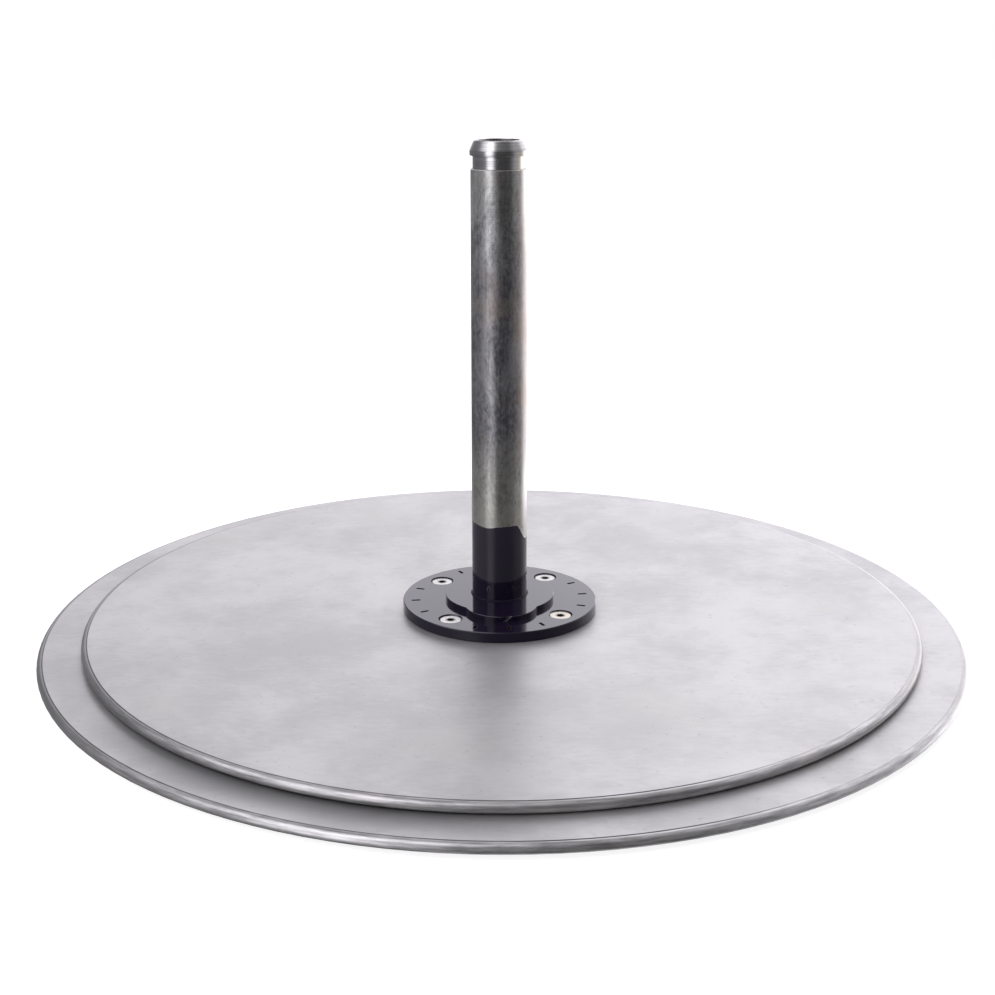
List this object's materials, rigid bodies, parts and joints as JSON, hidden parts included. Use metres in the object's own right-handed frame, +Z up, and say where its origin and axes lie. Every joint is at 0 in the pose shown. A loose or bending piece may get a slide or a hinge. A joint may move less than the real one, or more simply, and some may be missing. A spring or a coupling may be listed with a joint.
{
  "type": "parasol base",
  "caption": "Weighted parasol base: stacked round steel discs, a bolted flange with index slots, and a grooved tubular stem over which a mast slides.",
  "frame": {"origin": "on the ground under the pads, on the axis of the stem and discs", "axes": "+Z up along the stem, -Y towards the front (the collar's lobe), +X to the right seen from the front"},
  "size_m": [0.7, 0.7, 0.3819],
  "materials": {
    "zinc_coated_steel": "satin grey zinc coating, bright turned rim",
    "gloss_black_paint": "gloss black paint on steel",
    "bare_steel": "mottled bare tube, gloss black paint on its foot",
    "turned_steel": "bright turned steel",
    "screw_zinc": "bright zinc plating",
    "pad_rubber": "matt black rubber"
  },
  "bodies": {
    "root": {"ground_pads": "pad_rubber", "lower_plate": "zinc_coated_steel", "upper_plate": "zinc_coated_steel", "flange_plate": "gloss_black_paint", "flange_screws": "screw_zinc", "collar": "gloss_black_paint", "stem_tube": "bare_steel", "stem_nose": "turned_steel", "stem_weld": "gloss_black_paint"}
  },
  "joints": []
}
